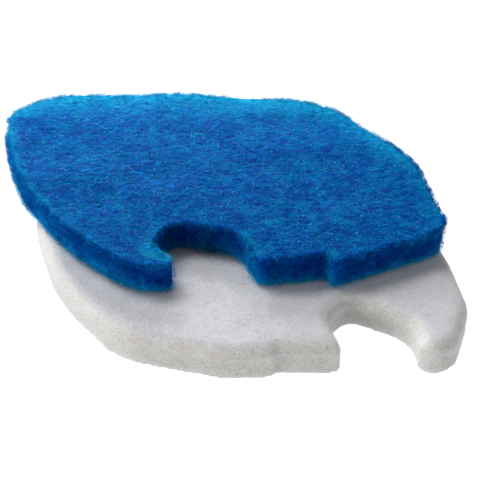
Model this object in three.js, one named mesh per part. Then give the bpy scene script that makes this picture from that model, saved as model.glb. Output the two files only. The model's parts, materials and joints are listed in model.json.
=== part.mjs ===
// Two loose filter-media pads for an aquarium canister filter, lying one on the other:
// a thick white floss pad for fine dirt and, on top of it, a blue open-fibre pad for coarse dirt.
// Both are cut from flat sheet by a die, so each is one outline with upright walls.
// Millimetres, +Z up. +X runs along the front edges and +Y goes towards the back.

import * as THREE from 'three';

// Driving dimensions
const FINE_THICKNESS = 17;
const COARSE_THICKNESS = 16;
const REST_GAP = 0.3; // between the two pads where they touch
const ARC_DIVISIONS = 5; // each rounded corner becomes twice this many facets

// An outline is a list of corners, going round clockwise: [x, y, rounding radius].
// Both outlines share one origin, in the mouth of the coarse pad's notch.
const COARSE_OUTLINE = [
  [-142.5, 138, 10], // blunt left end
  [-117, 164.5, 40],
  [-42, 167.5, 300], // long back edge
  [55, 155, 60], // back right shoulder
  [98.5, 79, 70],
  [107, 11.5, 20], // right end
  [45.5, -19, 2], // step, outer corner
  [43.5, -11.5, 1.5], // step, inner corner
  [9, -17.5, 4], // right lip of the notch
  [1, 9, 26], // notch, open side
  [-37.5, 18.5, 12], // notch, deep side
  [-45.5, -3.5, 14],
  [-31, -20.5, 2.5], // left lip of the notch, the tip of the lobe
  [-49.5, -23, 26],
  [-83.5, 4.5, 150], // long left edge
  [-130, 70, 200],
];

const FINE_OUTLINE = [
  [-113, 97, 40], // back left shoulder
  [-60, 120, 60],
  [62, 112, 40], // back right shoulder
  [89.5, 76, 60],
  [108, 14, 120],
  [112, -29, 30], // outside of the horn
  [101.5, -57, 10],
  [83, -69, 7], // right lip of the notch, the tip of the horn
  [84, -41.5, 20], // notch, open side
  [53, -23.5, 9], // notch, deep side
  [41.5, -38.5, 10],
  [48, -62, 4], // left lip of the notch
  [18, -62, 1.5], // step, inner corner
  [14.5, -65, 1.5], // step, outer corner
  [-4, -67, 50], // long front edge
  [-59, -52, 40],
  [-92.5, -9.5, 120], // left side
  [-114, 49, 90],
];

// Unit vector from one corner towards another.
function direction(from, to) {
  const way = new THREE.Vector2(to[0] - from[0], to[1] - from[1]);
  return way.normalize();
}

// The arc that rounds one corner: its centre, radius, end angles and which way it turns.
function cornerArc(before, corner, after) {
  const [x, y, radius] = corner;
  const back = direction(corner, before);
  const ahead = direction(corner, after);
  const halfAngle = Math.acos(back.dot(ahead)) / 2;
  const reach = radius / Math.tan(halfAngle);
  const inwards = back.clone().add(ahead).normalize();
  const centre = inwards.multiplyScalar(radius / Math.sin(halfAngle));
  const startAngle = back.clone().multiplyScalar(reach).sub(centre).angle();
  const endAngle = ahead.clone().multiplyScalar(reach).sub(centre).angle();
  const clockwise = back.cross(ahead) > 0;
  return { x: x + centre.x, y: y + centre.y, radius, startAngle, endAngle, clockwise };
}

// A closed outline of straight stretches joined by the corner arcs.
function roundedOutline(corners) {
  const shape = new THREE.Shape();
  corners.forEach((corner, i) => {
    const before = corners[(i + corners.length - 1) % corners.length];
    const after = corners[(i + 1) % corners.length];
    const arc = cornerArc(before, corner, after);
    shape.absarc(arc.x, arc.y, arc.radius, arc.startAngle, arc.endAngle, arc.clockwise);
  });
  shape.closePath();
  return shape;
}

// One die-cut pad: its outline with upright walls, from `bottom` up.
function cutPad(name, corners, thickness, bottom, material) {
  const geometry = new THREE.ExtrudeGeometry(roundedOutline(corners), {
    depth: thickness,
    bevelEnabled: false,
    curveSegments: ARC_DIVISIONS,
  });
  const pad = new THREE.Mesh(geometry, material);
  pad.name = name;
  pad.position.z = bottom;
  return pad;
}

function finePad() {
  const floss = new THREE.MeshStandardMaterial({ color: 0xd3d6dc, roughness: 0.95, metalness: 0 });
  return cutPad('fine_pad', FINE_OUTLINE, FINE_THICKNESS, 0, floss);
}

function coarsePad() {
  const fibre = new THREE.MeshStandardMaterial({ color: 0x0a63b4, roughness: 0.9, metalness: 0 });
  const bottom = FINE_THICKNESS + REST_GAP;
  return cutPad('coarse_pad', COARSE_OUTLINE, COARSE_THICKNESS, bottom, fibre);
}

// The whole stack, moved so that the origin lies under the middle of its footprint.
const padStack = new THREE.Group();
padStack.add(finePad());
padStack.add(coarsePad());
const middle = new THREE.Box3().setFromObject(padStack).getCenter(new THREE.Vector3());
padStack.position.set(-middle.x, -middle.y, 0);

export default padStack;
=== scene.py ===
# %% [markdown]
# # Two filter pads for an aquarium canister filter
# A blue pad of coarse, bonded fibre lies on a thick pad of white floss. Both are cut from sheet
# by a die, so each has one outline, upright walls and soft edges.
# The CAD model gives the two outlines, their thickness and their place. This lesson turns those
# plain blocks into fibre: first a soft, slightly uneven body for each pad, then thousands of
# real, thin fibres laid over it, so that edges look hairy and the surface catches light in strands.

# %% Load the CAD frame
import json
import math

import bmesh
import bpy
import numpy as np
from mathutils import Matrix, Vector, noise
from mathutils.bvhtree import BVHTree

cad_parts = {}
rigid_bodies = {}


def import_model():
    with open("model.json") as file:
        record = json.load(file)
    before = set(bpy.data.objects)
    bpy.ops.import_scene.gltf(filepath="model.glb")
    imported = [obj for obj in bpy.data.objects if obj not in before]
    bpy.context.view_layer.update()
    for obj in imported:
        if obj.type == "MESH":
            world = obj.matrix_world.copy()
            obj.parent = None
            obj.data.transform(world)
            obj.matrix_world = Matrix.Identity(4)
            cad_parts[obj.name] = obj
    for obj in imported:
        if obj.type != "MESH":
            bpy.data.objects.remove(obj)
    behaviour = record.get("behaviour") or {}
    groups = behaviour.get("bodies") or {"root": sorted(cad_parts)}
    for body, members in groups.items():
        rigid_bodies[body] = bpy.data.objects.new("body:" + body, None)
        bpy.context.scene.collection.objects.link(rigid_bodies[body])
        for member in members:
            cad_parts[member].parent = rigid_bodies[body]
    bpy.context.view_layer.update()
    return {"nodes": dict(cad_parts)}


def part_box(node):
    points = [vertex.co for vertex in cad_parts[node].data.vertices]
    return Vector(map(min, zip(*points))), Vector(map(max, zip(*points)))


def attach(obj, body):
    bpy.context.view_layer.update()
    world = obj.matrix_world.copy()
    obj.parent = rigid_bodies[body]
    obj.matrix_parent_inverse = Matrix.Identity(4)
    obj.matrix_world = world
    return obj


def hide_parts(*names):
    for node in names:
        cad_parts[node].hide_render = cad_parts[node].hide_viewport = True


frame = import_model()
MM = 0.001

for name in sorted(frame["nodes"]):
    low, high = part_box(name)
    size = (high - low) / MM
    print(f"{name}: {size.x:.0f} x {size.y:.0f} x {size.z:.0f} mm")

# %% [markdown]
# ## Camera
# The stack is seen from the front and a third of the way up, with a normal lens, so that the
# notch walls show. The camera aims at a point on the top of the coarse pad, given as a share of
# that pad's box, so it follows the CAD model if a size changes.

# %% Place the camera
CAMERA_RISE = math.radians(34)
CAMERA_FIELD = math.radians(27)
CAMERA_DISTANCE = 500 * MM
AIM_SHARE = (0.5736, 0.1154)

low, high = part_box("coarse_pad")
aim_x = low.x + AIM_SHARE[0] * (high.x - low.x)
aim_y = low.y + AIM_SHARE[1] * (high.y - low.y)
aim = Vector((aim_x, aim_y, high.z))
forward = Vector((0, math.cos(CAMERA_RISE), -math.sin(CAMERA_RISE)))

camera = bpy.data.objects.new("camera", bpy.data.cameras.new("camera"))
camera.data.angle = CAMERA_FIELD
camera.data.clip_start = 0.01
camera.location = aim - forward * CAMERA_DISTANCE
camera.rotation_euler = forward.to_track_quat("-Z", "Y").to_euler()
bpy.context.scene.collection.objects.link(camera)
bpy.context.scene.camera = camera
print("camera at", [round(v, 3) for v in camera.location])

# %% [markdown]
# ## Two helpers for every finish
# Colours are written as the hex values a painter would pick. They are display colours, and a
# shader works in linear light, so one function converts them. A second adds a node, sets it up
# and links it, which keeps each finish short enough to read.

# %% Colour and node helpers
def linear(hex_colour):
    channels = [int(hex_colour[i : i + 2], 16) / 255 for i in (1, 3, 5)]
    return [c / 12.92 if c <= 0.04045 else ((c + 0.055) / 1.055) ** 2.4 for c in channels] + [1.0]


def add_node(tree, kind, links=None, **settings):
    """A node of this kind. links gives inputs by name or number, as a value or a node's output."""
    made = tree.nodes.new(kind)
    for key, value in settings.items():
        setattr(made, key, value)
    for key, value in (links or {}).items():
        if isinstance(value, bpy.types.NodeSocket):
            tree.links.new(value, made.inputs[key])
        else:
            made.inputs[key].default_value = value
    return made


def per_mm(size_mm):
    """The texture scale at which one feature is about this many millimetres across."""
    return 1 / (size_mm * MM)


def new_finish(name):
    """An empty material and its node tree, ready for nodes."""
    material = bpy.data.materials.new(name)
    material.use_nodes = True
    material.node_tree.nodes.clear()
    return material, material.node_tree


print("white #ffffff is linear", linear("#ffffff")[:3])

# %% [markdown]
# ## The soft body of a pad
# A die-cut pad could be a subdivided box, but its outline has a notch and a step, and only an
# even grid bends the same way everywhere. So the CAD block is copied, remeshed to an even grid
# of about a millimetre, and smoothed until its rims are as round as fibre leaves them.

# %% Remesh the CAD block
def applied(body):
    """Turns the body's modifiers into its mesh."""
    bpy.context.view_layer.update()
    shaped = body.evaluated_get(bpy.context.evaluated_depsgraph_get())
    body.data = bpy.data.meshes.new_from_object(shaped)
    body.modifiers.clear()
    body.data.name = body.name


def even_block(node, name, grid_mm):
    """A copy of the CAD block, remeshed to an even grid."""
    mesh = frame["nodes"][node].data.copy()
    work = bmesh.new()
    work.from_mesh(mesh)
    bmesh.ops.remove_doubles(work, verts=work.verts, dist=0.01 * MM)
    work.to_mesh(mesh)
    work.free()
    mesh.materials.clear()
    body = bpy.data.objects.new(name, mesh)
    bpy.context.scene.collection.objects.link(body)
    grid = body.modifiers.new("even_grid", "REMESH")
    grid.mode = "VOXEL"
    grid.voxel_size = grid_mm * MM
    applied(body)
    return body


def points_of(mesh):
    flat = np.empty(len(mesh.vertices) * 3)
    mesh.vertices.foreach_get("co", flat)
    return flat.reshape(-1, 3)


def normals_of(mesh):
    flat = np.empty(len(mesh.vertices) * 3)
    mesh.vertex_normals.foreach_get("vector", flat)
    return flat.reshape(-1, 3)


LEAST_SMOOTHING = 0.06
CRISP_SHARE = 0.4


def soften(body, passes, crisp_below_mm=0):
    """Rounds the rims by smoothing, with much less of it near the floor, where the cut is crisp."""
    heights = points_of(body.data)[:, 2] / MM
    start = CRISP_SHARE * crisp_below_mm
    rise = max((1 - CRISP_SHARE) * crisp_below_mm, 0.1)
    share = np.clip((heights - start) / rise, LEAST_SMOOTHING, 1)
    group = body.vertex_groups.new(name="soft")
    for i, amount in enumerate(share):
        group.add([i], float(amount), "REPLACE")
    rounded = body.modifiers.new("round_rims", "SMOOTH")
    rounded.factor = 0.5
    rounded.iterations = passes
    rounded.vertex_group = group.name
    applied(body)
    body.vertex_groups.clear()


# %% [markdown]
# ## The floss pad's round rim
# Floss is thick and soft, and the die squeezes its cut edge shut, so its top curves down to the
# wall over several millimetres. Smoothing that much would also wear away the outline's corners.
# So the top is lowered along a quarter circle instead, by how far each point is from the wall.

# %% Crown the top
LEFT_AT_WALL = 0.2  # share of its height above the curve that a point right at the wall keeps
WALL_FACING = 0.5


def wall_tree(node):
    """A search tree of the CAD block's upright faces."""
    mesh = frame["nodes"][node].data
    walls = [p.vertices[:] for p in mesh.polygons if abs(p.normal.z) < WALL_FACING]
    return BVHTree.FromPolygons([v.co for v in mesh.vertices], walls)


def crown(body, node, radius_mm):
    """Rounds the top rim to this radius without moving the outline."""
    radius = radius_mm * MM
    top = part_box(node)[1].z
    walls = wall_tree(node)
    places = points_of(body.data)
    for i in np.flatnonzero(places[:, 2] > top - radius):
        level = Vector((places[i, 0], places[i, 1], top - radius))
        depth = min(walls.find_nearest(level)[3], radius)
        share = max(math.sqrt(1 - (1 - depth / radius) ** 2), LEFT_AT_WALL)
        places[i, 2] = level.z + (places[i, 2] - level.z) * share
    body.data.vertices.foreach_set("co", places.ravel())
    body.data.update()


# %% [markdown]
# ## Unevenness
# Sheet of this kind is never quite flat: fibre clumps every couple of millimetres, and the web
# is thicker in some places than in others. Both are moved into the mesh itself along its
# normals, so that they show at the edge and in the shadows and not only in the shading.
# The faces where the two pads touch only move inwards, so the two bodies never cut into each other.

# %% Move the surface
CONTACT_BAND = 1.2 * MM
CONTACT_MOVE = 0.5  # share of the unevenness left on the contact face
FINER_BY = 2.1
FADES_BY = 0.9
CLUMP_LAYERS = 3


def roughen(body, clump_mm, clump_depth_mm, swell_mm, swell_depth_mm, contact_z):
    """Clumps and slow swells, as a move along each point's normal."""
    mesh = body.data
    places = points_of(mesh)
    outwards = normals_of(mesh)
    move = np.empty(len(places))
    for i, place in enumerate(places):
        at = Vector(place)
        clump = noise.fractal(at / (clump_mm * MM), FADES_BY, FINER_BY, CLUMP_LAYERS)
        swell = noise.noise(at / (swell_mm * MM))
        move[i] = (clump_depth_mm * clump + swell_depth_mm * swell) * MM
    inwards_only = np.abs(places[:, 2] - contact_z) < CONTACT_BAND
    move[inwards_only] = -np.abs(move[inwards_only]) * CONTACT_MOVE
    moved = places + outwards * move[:, None]
    moved[:, 2] = np.maximum(moved[:, 2], 0)
    mesh.vertices.foreach_set("co", moved.ravel())
    mesh.update()


# %% Make the two bodies
COARSE_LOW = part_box("coarse_pad")[0]
FINE_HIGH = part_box("fine_pad")[1]
GRID_MM = 1.1

coarse_body = even_block("coarse_pad", "coarse_body", GRID_MM)
soften(coarse_body, passes=3)
roughen(
    coarse_body,
    clump_mm=3.0,
    clump_depth_mm=0.45,
    swell_mm=30,
    swell_depth_mm=1.2,
    contact_z=COARSE_LOW.z,
)
fine_body = even_block("fine_pad", "fine_body", GRID_MM)
crown(fine_body, "fine_pad", radius_mm=6.5)
soften(fine_body, passes=16, crisp_below_mm=6)
roughen(
    fine_body,
    clump_mm=5,
    clump_depth_mm=0.15,
    swell_mm=45,
    swell_depth_mm=0.8,
    contact_z=FINE_HIGH.z,
)
for body in (coarse_body, fine_body):
    body.data.shade_smooth()
    print(body.name, len(body.data.vertices), "points", len(body.data.polygons), "faces")

# %% [markdown]
# ## Where light comes in from the side
# Near the outline, light also enters through the cut wall behind, so the top looks lighter there
# on the sides that face the light. Scattering in the shader is set to reach only a few millimetres,
# so each point also stores how close it is to such a wall, for the finish to use. The direction is
# fixed to suit the lights of this lesson: under other lights the pale zone stays where it is.

# %% Store the lit edge
TO_LIGHT = (-0.2, 0.6)
LIT_ALL_ROUND = 0.6


def lit_edge(body, node, reach_mm, more_at_back_mm):
    """Stores 1 at a wall that faces the light, falling to 0 further in, as a mesh attribute."""
    walls = wall_tree(node)
    level = sum(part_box(node), Vector()).z / 2
    places = points_of(body.data)
    share = np.empty(len(places))
    for i, place in enumerate(places):
        _, outwards, _, depth = walls.find_nearest(Vector((place[0], place[1], level)))
        faces_light = LIT_ALL_ROUND + TO_LIGHT[0] * outwards.x + TO_LIGHT[1] * outwards.y
        reach = (reach_mm + more_at_back_mm * max(outwards.y, 0)) * MM
        share[i] = min(max(faces_light, 0), 1) * max(1 - depth / reach, 0) ** 2
    stored = body.data.attributes.new("lit_edge", "FLOAT", "POINT")
    stored.data.foreach_set("value", share)
    return share


lit = lit_edge(coarse_body, "coarse_pad", reach_mm=9, more_at_back_mm=34)
print(f"{(lit > 0.1).mean():.0%} of the coarse pad is lit through its edge")

# %% [markdown]
# ## Fibres
# The pads are a web of crimped polyester fibre, sprayed with binder. Painting strands on the
# surface would leave the edge smooth, and hair particles can't be exported, so each fibre is a
# real thin tube: a few points along a curved path, snapped to the body and lifted a little off
# it, with a three-sided skin. On the flat faces fibres lie every way. On the cut walls they run
# along the wall, as the layers of the web do, and near the rims their ends stand out.
# Real fibres are finer, perhaps 0.02 to 0.1 mm thick, which wouldn't show from half a metre away.
# They are drawn 0.07 to 0.24 mm thick, and there are far fewer of them than in a real pad.

# %% Scatter points over a body
FACING = (-0.8, -0.7, -0.35, -0.2, 0.2, 0.35, 0.7, 0.8)


def scatter(mesh, count, rng, shares):
    """Random points on the mesh, by area, with their normals.
    shares weighs the underside, lower rims, walls, upper rims and top, in that order."""
    under, low_rims, walls, rims, top = shares
    mesh.calc_loop_triangles()
    corners = np.empty(len(mesh.loop_triangles) * 3, int)
    mesh.loop_triangles.foreach_get("vertices", corners)
    places = points_of(mesh)[corners.reshape(-1, 3)]
    cross = np.cross(places[:, 1] - places[:, 0], places[:, 2] - places[:, 0])
    area = np.linalg.norm(cross, axis=1)
    facing = cross / np.maximum(area, 1e-12)[:, None]
    by_facing = (under, low_rims, low_rims, walls, walls, rims, rims, top)
    share = np.interp(facing[:, 2], FACING, by_facing)
    weight = area * share
    picked = rng.choice(len(weight), count, p=weight / weight.sum())
    u, v = rng.random((2, count, 1))
    swap = u + v > 1
    u, v = np.where(swap, 1 - u, u), np.where(swap, 1 - v, v)
    a, b, c = (places[picked, i] for i in range(3))
    return a + u * (b - a) + v * (c - a), facing[picked]


# %% Curve each fibre over the surface
FIBRE_POINTS = 5
FIBRE_SIDES = 3
STEEP = 0.6  # a face whose normal rises less than this counts as wall
WALL_SWAY = 0.45


def headings(facing, rng):
    """A direction along the surface for each fibre: any way on top, nearly level on the walls."""
    count = len(facing)
    level = np.cross(facing, (0, 0, 1.0))
    level /= np.maximum(np.linalg.norm(level, axis=1), 1e-9)[:, None]
    on_wall = np.abs(facing[:, 2]) < STEEP
    sway = rng.normal(0, WALL_SWAY, count)
    any_way = rng.uniform(0, 2 * math.pi, count)
    turn = np.where(on_wall, sway, any_way)[:, None]
    flat = np.hstack([np.cos(turn), np.sin(turn), np.zeros((count, 1))])
    wall = level * np.cos(turn) + np.array([0, 0, 1.0]) * np.sin(turn)
    return np.where(on_wall[:, None], wall, flat)


def fibre_paths(body, start, facing, rng, between, length_mm, lift_mm, curl, loose, stand_mm):
    """The points along each fibre, and the surface normal at each. loose is the share with one
    end up. between is the lowest and highest z for a fibre's middle line, so where the pads
    touch, a fibre passes the contact plane by its own radius at most."""
    count = len(start)
    tree = BVHTree.FromObject(body, bpy.context.evaluated_depsgraph_get())
    heading = headings(facing, rng)
    side = np.cross(facing, heading)
    length = rng.uniform(0.5, 1.3, count) * length_mm * MM
    bend = rng.normal(0, curl, count)
    wiggle = rng.normal(0, 0.2 * curl, (count, FIBRE_POINTS))
    height = rng.uniform(0.2, 1.0, count) * lift_mm * MM
    stands = np.where(rng.random(count) < loose, rng.uniform(0.3, 1.0, count) * stand_mm * MM, 0)
    paths = np.empty((count, FIBRE_POINTS, 3))
    normals = np.empty_like(paths)
    for k in range(FIBRE_POINTS):
        s = k / (FIBRE_POINTS - 1) - 0.5
        along = heading * (s * length)[:, None]
        across = side * ((bend * s * s + wiggle[:, k]) * length)[:, None]
        wanted = start + along + across
        arch = 1 - (2 * s) ** 2
        lift = height * (arch - 0.3) + stands * max(0.0, 2 * s) ** 2
        for i in range(count):
            near, normal, _, _ = tree.find_nearest(wanted[i])
            paths[i, k] = near + normal * lift[i]
            normals[i, k] = normal
    paths[:, :, 2] = np.clip(paths[:, :, 2], *between)
    return paths, normals


# %% Skin the paths as closed three-sided tubes
END_THICKNESS = 0.45


def fibre_mesh(name, paths, normals, thick_mm, tones, rng):
    """One mesh of closed tubes, one for each path. tones is the material slot of each."""
    count = len(paths)
    tangent = np.gradient(paths, axis=1)
    tangent /= np.maximum(np.linalg.norm(tangent, axis=2), 1e-9)[..., None]
    side = np.cross(tangent, normals)
    side /= np.maximum(np.linalg.norm(side, axis=2), 1e-9)[..., None]
    up = np.cross(side, tangent)
    radius = 0.5 * thick_mm * MM * rng.uniform(0.7, 1.25, (count, 1, 1))
    taper = np.ones((1, FIBRE_POINTS, 1))
    taper[:, [0, -1]] = END_THICKNESS
    rings = []
    for k in range(FIBRE_SIDES):
        angle = 2 * math.pi * k / FIBRE_SIDES + math.pi / 2
        rings.append(paths + radius * taper * (math.cos(angle) * side + math.sin(angle) * up))
    points = np.stack(rings, 2).reshape(-1, 3)
    step = np.arange(FIBRE_POINTS - 1)[:, None] * FIBRE_SIDES
    here = np.arange(FIBRE_SIDES)[None, :]
    after = (here + 1) % FIBRE_SIDES
    first_ring = [step + here, step + after]
    next_ring = [step + after + FIBRE_SIDES, step + here + FIBRE_SIDES]
    quads = np.stack(first_ring + next_ring, -1)
    last = (FIBRE_POINTS - 1) * FIBRE_SIDES
    each = np.arange(count)[:, None] * FIBRE_POINTS * FIBRE_SIDES
    sides = (each[:, None] + quads.reshape(1, -1, 4)).reshape(-1, 4)
    start_caps = each + np.arange(FIBRE_SIDES)[::-1]
    end_caps = each + last + np.arange(FIBRE_SIDES)
    mesh = bpy.data.meshes.new(name)
    mesh.from_pydata(points, [], sides.tolist() + start_caps.tolist() + end_caps.tolist())
    slots = np.concatenate([np.repeat(tones, quads.size // 4), tones, tones])
    mesh.polygons.foreach_set("material_index", slots.astype(np.int32))
    mesh.update()
    mesh.shade_smooth()
    return mesh


def lay_fibres(name, body, seed, finishes, choose_tone, count, shares, thick_mm, **how):
    """One piece made of this many fibres. choose_tone(places, facing, rng) gives each one's finish."""
    rng = np.random.default_rng(seed)
    start, facing = scatter(body.data, count, rng, shares)
    paths, normals = fibre_paths(body, start, facing, rng, **how)
    tones = choose_tone(start, facing, rng)
    fibres = bpy.data.objects.new(name, fibre_mesh(name, paths, normals, thick_mm, tones, rng))
    for finish in finishes:
        fibres.data.materials.append(finish)
    bpy.context.scene.collection.objects.link(fibres)
    print(name, count, "fibres,", len(fibres.data.polygons), "faces")
    return fibres


# %% [markdown]
# ## Finish of the coarse pad: dope-dyed polyester fibre
# The pigment is in the polymer, so the colour is deep and even along each fibre. The web traps
# light between its fibres, so almost nothing shines off it as a whole, and the specular level is
# far below that of a solid plastic. What the eye sees from a step away is light strands over a
# dark ground. Where the surface dips between knots, the ground is painted darker: painted shade.
# The cut walls are painted darker as well, as painted shade in the gaps between fibre ends, and
# painted lighter towards the bottom, for light that comes back up from the floor and the floss.
# That painted light reaches higher on walls turned left, towards the lamps. One mix after another
# builds this: blotches and knots on top, then the painted shade of the dips, then the lit edge,
# then the wall.

# %% Ground under the blue strands
POLYESTER_IOR = 1.57
TRAPPED_SHINE = 0.02
DYED_SHINE = "#1f7fd0"
BLOTCH_MM = 7  # thick and thin places in the web
KNOT_MM = 1.2  # crossings of fibres, drawn coarser than the real ones so that they show
PAINTED_LIGHT_AT_FOOT = (4 * MM, 11 * MM)  # how far up a wall turned right, or left, the painted light at its foot reaches; higher on walls turned left, towards the lamps


def blue_ground():
    material, tree = new_finish("dyed_polyester_web")
    place = add_node(tree, "ShaderNodeTexCoord").outputs["Object"]
    normal = add_node(tree, "ShaderNodeNewGeometry").outputs["Normal"]
    upward = add_node(tree, "ShaderNodeSeparateXYZ", {0: normal}).outputs["Z"]
    height = add_node(tree, "ShaderNodeSeparateXYZ", {0: place}).outputs["Z"]
    blotch = add_node(
        tree,
        "ShaderNodeTexNoise",
        {"Vector": place, "Scale": per_mm(BLOTCH_MM), "Detail": 2.0, "Roughness": 0.65},
    ).outputs["Fac"]
    knots = add_node(
        tree,
        "ShaderNodeTexNoise",
        {"Vector": place, "Scale": per_mm(KNOT_MM), "Detail": 3.0, "Roughness": 0.65},
    ).outputs["Fac"]
    thick = add_node(tree, "ShaderNodeMapRange", {"Value": blotch, "From Min": 0.38, "From Max": 0.62})
    blotched = add_node(
        tree,
        "ShaderNodeMix",
        {"Factor": thick.outputs[0], 6: linear("#03409a"), 7: linear("#0470c0")},
        data_type="RGBA",
    ).outputs[2]
    # painted shade: where the knots noise is low, which is where the bump dips, the web turns dark
    painted_pit_shade = add_node(tree, "ShaderNodeMapRange", {"Value": knots, "From Min": 0.62, "From Max": 0.4})
    blotched_with_pit_shade = add_node(
        tree,
        "ShaderNodeMix",
        {"Factor": painted_pit_shade.outputs[0], 6: blotched, 7: linear("#012c70")},
        data_type="RGBA",
    ).outputs[2]
    edge = add_node(tree, "ShaderNodeAttribute", attribute_name="lit_edge").outputs["Fac"]
    edge_share = add_node(tree, "ShaderNodeMapRange", {"Value": edge, "To Max": 0.85})
    on_top = add_node(
        tree,
        "ShaderNodeMix",
        {"Factor": edge_share.outputs[0], 6: blotched_with_pit_shade, 7: linear("#0caccf")},
        data_type="RGBA",
    ).outputs[2]
    # painted light and shade on the walls: pale at the foot, for light from below, reaching higher on
    # walls turned left, towards the lamps, and dark above it
    sideways = add_node(tree, "ShaderNodeSeparateXYZ", {0: normal}).outputs["X"]
    reach = add_node(
        tree,
        "ShaderNodeMapRange",
        {
            "Value": sideways,
            "From Min": 0.4,
            "From Max": -0.5,
            "To Min": PAINTED_LIGHT_AT_FOOT[0],
            "To Max": PAINTED_LIGHT_AT_FOOT[1],
        },
    ).outputs[0]
    above = add_node(tree, "ShaderNodeMath", {0: height, 1: COARSE_LOW.z}, operation="SUBTRACT")
    rise = add_node(tree, "ShaderNodeMath", {0: above.outputs[0], 1: reach}, operation="DIVIDE")
    wall_share = add_node(tree, "ShaderNodeMapRange", {"Value": rise.outputs[0]})
    on_wall = add_node(
        tree,
        "ShaderNodeMix",
        {"Factor": wall_share.outputs[0], 6: linear("#0a94d8"), 7: linear("#02389e")},
        data_type="RGBA",
    ).outputs[2]
    is_top = add_node(tree, "ShaderNodeMapRange", {"Value": upward, "From Min": 0.35, "From Max": 0.9})
    colour = add_node(
        tree,
        "ShaderNodeMix",
        {"Factor": is_top.outputs[0], 6: on_wall, 7: on_top},
        data_type="RGBA",
    ).outputs[2]
    bump = add_node(tree, "ShaderNodeBump", {"Height": knots, "Strength": 0.7, "Distance": 0.6 * MM})
    shader = add_node(
        tree,
        "ShaderNodeBsdfPrincipled",
        {
            "Base Color": colour,
            "Roughness": 0.75,
            "IOR": POLYESTER_IOR,
            "Specular IOR Level": TRAPPED_SHINE,
            "Specular Tint": linear(DYED_SHINE),
            "Subsurface Weight": 0.8,
            "Subsurface Radius": (0.1, 0.8, 1.0),
            "Subsurface Scale": 5 * MM,
            "Normal": bump.outputs["Normal"],
        },
    )
    add_node(tree, "ShaderNodeOutputMaterial", {"Surface": shader.outputs[0]})
    return material


coarse_body.data.materials.append(blue_ground())
print("ground under the strands:", coarse_body.data.materials[0].name)

# %% [markdown]
# ## The blue strands
# The strands are the same dyed polyester in six constant tones, from nearly black to pale. Part of
# the spread is each fibre's own tone, which drifts in patches and at random; part is painted light
# and shade: strands on top and at the foot of the walls get lighter tones, those on the walls
# darker ones. Six lots of strands cover the pad. Two lots of fuzz are longer, looser loops around
# the rims, which make the edge look hairy; their tone carries painted light on the side that
# faces the lamps. The glints are short bits seen end on, all in the pale tone: painted highlights.
# Each lot is one piece with its own seed, so every run gives the same fibres.

# %% Blue strands
def strand_finish(name, shade, roughness, shine=DYED_SHINE):
    material, tree = new_finish(name)
    settings = {
        "Base Color": linear(shade),
        "Roughness": roughness,
        "IOR": POLYESTER_IOR,
        "Specular IOR Level": TRAPPED_SHINE,
        "Specular Tint": linear(shine),
        "Subsurface Weight": 0.5,
        "Subsurface Radius": linear(shine)[:3],
        "Subsurface Scale": 1.5 * MM,
    }
    shader = add_node(tree, "ShaderNodeBsdfPrincipled", settings)
    add_node(tree, "ShaderNodeOutputMaterial", {"Surface": shader.outputs[0]})
    return material


BLUE_TONES = {
    "black_blue": ("#022478", 0.7),
    "navy": ("#0340a0", 0.6),
    "deep": ("#0464bc", 0.5),
    "mid": ("#067ed0", 0.45),
    "bright": ("#18aadc", 0.4),
    "pale": ("#74bede", 0.35),
}
BRIGHTEST = list(BLUE_TONES).index("bright")
PALE = BRIGHTEST + 1
# PALE_FOOT and LIT_BRIM: how high up the wall the painted light from below reaches, for strands and for
# fuzz
PALE_FOOT = 6 * MM
LIT_BRIM = 1.5 * MM
PATCH = 9 * MM  # the web's tone drifts over about this distance
blue_finishes = [strand_finish("dyed_strand_" + name, *look) for name, look in BLUE_TONES.items()]


def blue_tone(places, facing, rng):
    """Painted light and shade: lighter strands on top and at the foot of the walls, darker ones on
    the cut walls. The tone also drifts in patches and at random, as fibres differ.
    """
    up = np.clip((facing[:, 2] - 0.3) / 0.5, 0, 1)
    low_rim = np.clip(1 - (places[:, 2] - COARSE_LOW.z) / PALE_FOOT, 0, 1)
    patch = np.array([noise.fractal(Vector(at) / PATCH, FADES_BY, FINER_BY, 2) for at in places])
    # painted light and shade: the top and the foot of the walls are raised, the walls left low; patch
    # and the random part are the fibres' own tone
    tone = 1.1 + 2.0 * low_rim * (1 - up) + 1.0 * up + 1.5 * patch + rng.normal(0, 0.9, len(places))
    return np.clip(np.round(tone), 0, BRIGHTEST).astype(int)


def fuzz_tone(places, facing, rng):
    """Painted light: loose loops on the side that faces the lamps get lighter tones, up to pale, as
    if lit through, and those on the far side a tone darker; those at the very bottom get the bright
    tone, as painted light from below. Loops on top keep the strands' tones.
    """
    to_light = TO_LIGHT[0] * facing[:, 0] + TO_LIGHT[1] * facing[:, 1]
    lighter = np.round(np.clip(6 * to_light, -1, 3) + rng.normal(0, 0.4, len(places))).astype(int)
    lighter = np.where(facing[:, 2] > 0.8, 0, lighter)
    at_bottom = places[:, 2] < COARSE_LOW.z + LIT_BRIM
    tone = np.where(at_bottom, BRIGHTEST, blue_tone(places, facing, rng) + lighter)
    return np.clip(tone, 0, np.where(to_light > 0.2, PALE, BRIGHTEST))


def glint_tone(places, facing, rng):
    """Painted highlights: short bits of fibre, all in the pale tone, that stand for light caught end
    on.
    """
    return np.full(len(places), PALE)


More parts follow.
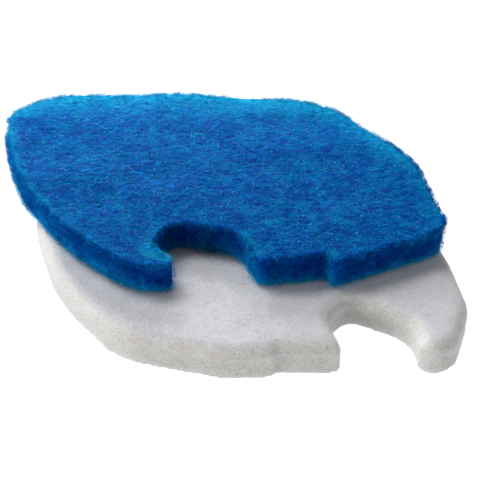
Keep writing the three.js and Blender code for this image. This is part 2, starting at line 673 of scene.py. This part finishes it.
# %% Lay the blue fibres
coarse_strands = []
COARSE_LOTS = 6
FUZZ_LOTS = 2
LOT = 7600
STRAND_SEED, FUZZ_SEED, GLINT_SEED, FLOSS_SEED = 31, 47, 53, 71
ABOVE_FINE_PAD = (COARSE_LOW.z, 1.0)
for lot in range(COARSE_LOTS):
    strands = lay_fibres(
        f"coarse_strands_{lot + 1}",
        coarse_body,
        STRAND_SEED + lot,
        blue_finishes,
        blue_tone,
        count=LOT,
        shares=(0.25, 1.6, 1.6, 1.6, 1),
        thick_mm=0.12,
        between=ABOVE_FINE_PAD,
        length_mm=4,
        lift_mm=0.3 + 0.07 * lot,
        curl=0.5,
        loose=0.3,
        stand_mm=1.2,
    )
    coarse_strands.append(strands)
for lot in range(FUZZ_LOTS):
    fuzz = lay_fibres(
        f"coarse_fuzz_{lot + 1}",
        coarse_body,
        FUZZ_SEED + lot,
        blue_finishes,
        fuzz_tone,
        count=LOT,
        shares=(0.05, 12, 1, 40, 0.2),
        thick_mm=0.12,
        between=ABOVE_FINE_PAD,
        length_mm=4.5,
        lift_mm=3.6,
        curl=1.2,
        loose=0.5,
        stand_mm=4.5,
    )
    coarse_strands.append(fuzz)
glints = lay_fibres(
    "coarse_glints",
    coarse_body,
    GLINT_SEED,
    blue_finishes,
    glint_tone,
    count=700,
    shares=(0.2, 0.6, 0.6, 1, 1),
    thick_mm=0.24,
    between=ABOVE_FINE_PAD,
    length_mm=1.3,
    lift_mm=0.9,
    curl=0.6,
    loose=0.0,
    stand_mm=0.0,
)
coarse_strands.append(glints)

# %% [markdown]
# ## Finish of the fine pad: white polyester floss
# Floss is the same polymer with no dye and far thinner fibre. Light goes in, scatters between
# thousands of fibres and comes out nearby, so the pad glows softly and its walls are never quite
# dark. That is subsurface scattering, with a reach of a few millimetres. The web is a little
# thicker in some places, which shows as faint clouds. Where its nap dips, fine grey specks are
# painted in: painted shade. The cut wall is a little warmer than the top, and painted lighter:
# painted light on the walls.

# %% White floss
CLOUD_MM = 14
NAP_MM = 0.9  # floss fibre is some hundredths of a millimetre thick, too fine to show


def white_floss():
    material, tree = new_finish("polyester_floss")
    place = add_node(tree, "ShaderNodeTexCoord").outputs["Object"]
    normal = add_node(tree, "ShaderNodeNewGeometry").outputs["Normal"]
    upward = add_node(tree, "ShaderNodeSeparateXYZ", {0: normal}).outputs["Z"]
    cloud = add_node(
        tree,
        "ShaderNodeTexNoise",
        {"Vector": place, "Scale": per_mm(CLOUD_MM), "Detail": 3.0, "Roughness": 0.65},
    ).outputs["Fac"]
    nap = add_node(
        tree,
        "ShaderNodeTexNoise",
        {"Vector": place, "Scale": per_mm(NAP_MM), "Detail": 2.0, "Roughness": 0.65},
    ).outputs["Fac"]
    thick = add_node(tree, "ShaderNodeMapRange", {"Value": cloud, "From Min": 0.35, "From Max": 0.65})
    on_top = add_node(
        tree,
        "ShaderNodeMix",
        {"Factor": thick.outputs[0], 6: linear("#cacbd0"), 7: linear("#d4d5d9")},
        data_type="RGBA",
    ).outputs[2]
    # painted light: the wall colours are lighter than the top colours, and a little warmer
    on_wall = add_node(
        tree,
        "ShaderNodeMix",
        {"Factor": thick.outputs[0], 6: linear("#d8d5d2"), 7: linear("#e0dedb")},
        data_type="RGBA",
    ).outputs[2]
    is_top = add_node(tree, "ShaderNodeMapRange", {"Value": upward, "From Min": 0.75, "From Max": 1.0})
    clouded = add_node(
        tree,
        "ShaderNodeMix",
        {"Factor": is_top.outputs[0], 6: on_wall, 7: on_top},
        data_type="RGBA",
    ).outputs[2]
    # painted shade: grey where the nap noise is low, which is where the bump dips
    painted_nap_shade = add_node(
        tree,
        "ShaderNodeMapRange",
        {"Value": nap, "From Min": 0.6, "From Max": 0.35, "To Max": 0.4},
    )
    colour = add_node(
        tree,
        "ShaderNodeMix",
        {"Factor": painted_nap_shade.outputs[0], 6: clouded, 7: linear("#96979a")},
        data_type="RGBA",
    ).outputs[2]
    bump = add_node(tree, "ShaderNodeBump", {"Height": nap, "Strength": 0.6, "Distance": 0.5 * MM})
    shader = add_node(
        tree,
        "ShaderNodeBsdfPrincipled",
        {
            "Base Color": colour,
            "Roughness": 0.9,
            "IOR": POLYESTER_IOR,
            "Specular IOR Level": 0.2,
            "Subsurface Weight": 0.9,
            "Subsurface Radius": (1.0, 1.0, 1.0),
            "Subsurface Scale": 7 * MM,
            "Normal": bump.outputs["Normal"],
        },
    )
    add_node(tree, "ShaderNodeOutputMaterial", {"Surface": shader.outputs[0]})
    return material


fine_body.data.materials.append(white_floss())
print("finish of the floss body:", fine_body.data.materials[0].name)

# %% [markdown]
# ## The white strands
# A thin layer of loose fibre lies on the floss. It hardly shows as separate strands, and it takes
# the plastic smoothness off the body. Two tones are enough, since there is no dye to vary.

# %% Lay the white fibres
FLOSS_TONES = {"shade": "#c4c5ca", "light": "#dddee2"}
FLOSS_ROUGHNESS = 0.8
LIGHT_SHARE = 0.6
floss_finishes = []
for name, shade in FLOSS_TONES.items():
    floss_finishes.append(strand_finish("floss_strand_" + name, shade, FLOSS_ROUGHNESS, shade))


def floss_tone(places, facing, rng):
    """Mostly the light tone, whatever the place."""
    return (rng.random(len(places)) < LIGHT_SHARE).astype(int)


fine_strands = []
strands = lay_fibres(
    "fine_strands_1",
    fine_body,
    FLOSS_SEED,
    floss_finishes,
    floss_tone,
    count=LOT,
    shares=(0.3, 1.5, 1.5, 1.5, 1),
    thick_mm=0.07,
    between=(0, COARSE_LOW.z),
    length_mm=3,
    lift_mm=0.07,
    curl=0.8,
    loose=0.35,
    stand_mm=0.8,
)
fine_strands.append(strands)

# %% [markdown]
# ## Floor and light
# The floor is a table top of white acrylic that is lit a little from below, so it stays white
# right up to the pads. One brightness can't do that and leave the cut walls in shade, so the floor
# and the studio look brighter to the camera than the light they give the pads. The Light Path node
# does this, and only on the stage, which isn't part of the model.

# %% Floor
FLOOR_GLOW = 0.42
FLOOR_SEEN = 0.88
FLOOR_HALF = 6.0
FLOOR_DROP = 0.5 * MM


def lit_acrylic():
    material, tree = new_finish("lit_white_acrylic")
    seen = add_node(tree, "ShaderNodeLightPath").outputs["Is Camera Ray"]
    glow = add_node(
        tree,
        "ShaderNodeMapRange",
        {"Value": seen, "To Min": FLOOR_GLOW, "To Max": FLOOR_SEEN},
    )
    settings = {
        "Base Color": linear("#b4b4b4"),
        "Roughness": 0.9,
        "Emission Color": (1, 1, 1, 1),
        "Emission Strength": glow.outputs[0],
    }
    shader = add_node(tree, "ShaderNodeBsdfPrincipled", settings)
    add_node(tree, "ShaderNodeOutputMaterial", {"Surface": shader.outputs[0]})
    return material


floor_mesh = bpy.data.meshes.new("floor")
floor_corners = [
    (-FLOOR_HALF, -FLOOR_HALF, -FLOOR_DROP),
    (FLOOR_HALF, -FLOOR_HALF, -FLOOR_DROP),
    (FLOOR_HALF, FLOOR_HALF, -FLOOR_DROP),
    (-FLOOR_HALF, FLOOR_HALF, -FLOOR_DROP),
]
floor_mesh.from_pydata(floor_corners, [], [(0, 1, 2, 3)])
floor = bpy.data.objects.new("floor", floor_mesh)
floor.data.materials.append(lit_acrylic())
bpy.context.scene.collection.objects.link(floor)
print(f"floor {2 * FLOOR_HALF:.0f} m across, {FLOOR_DROP / MM:.1f} mm under the pads")

# %% [markdown]
# ## Lamps
# A large soft box high on the left and behind lights the tops. A low one behind gives the far rim
# its bright edge. Two weak ones low in front keep the front walls readable, with more on the left,
# and the even fill is weak, so the notch walls that face right stay in shade. That shade is what
# shows that the notch is deep.

# %% Place the lamps
FILL = 0.14
STUDIO_SEEN = 1.0


def soft_box(name, place, size, watts):
    """A square soft light at this place, aimed at the pads."""
    light = bpy.data.objects.new(name, bpy.data.lights.new(name, "AREA"))
    light.data.energy = watts
    light.data.size = size
    light.location = place
    light.rotation_euler = (-light.location).to_track_quat("-Z", "Y").to_euler()
    bpy.context.scene.collection.objects.link(light)


soft_box("key", place=(-0.75, 0.46, 1.28), size=0.65, watts=17.0)
soft_box("rim", place=(-0.1, 0.5, 0.25), size=0.4, watts=5.0)
soft_box("front_left", place=(-0.72, -0.62, 0.2), size=0.6, watts=4.8)
soft_box("front_right", place=(0.85, -0.45, 0.25), size=0.6, watts=2.2)

world = bpy.data.worlds.new("studio")
bpy.context.scene.world = world
world.use_nodes = True
world.node_tree.nodes.clear()
studio = world.node_tree
seen = add_node(studio, "ShaderNodeLightPath").outputs["Is Camera Ray"]
strength = add_node(
    studio,
    "ShaderNodeMapRange",
    {"Value": seen, "To Min": FILL, "To Max": STUDIO_SEEN},
).outputs[0]
sky = add_node(studio, "ShaderNodeBackground", {"Color": (1, 1, 1, 1), "Strength": strength})
add_node(studio, "ShaderNodeOutputWorld", {"Surface": sky.outputs[0]})

bpy.context.scene.view_settings.view_transform = "Standard"
print(len(bpy.data.lights), "lamps")

# %% [markdown]
# ## Tie each piece to the CAD model
# The bodies stand for the two CAD blocks and ride on their bodies, so when the coarse pad is
# lifted, its strands go with it.

# %% Ride and replace
for body, strands, node, finish_slot in (
    (coarse_body, coarse_strands, "coarse_pad", "blue_fibre"),
    (fine_body, fine_strands, "fine_pad", "white_floss"),
):
    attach(body, node)
    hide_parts(node)
    for piece in strands:
        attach(piece, node)
    print(node, "has", 1 + len(strands), "pieces")
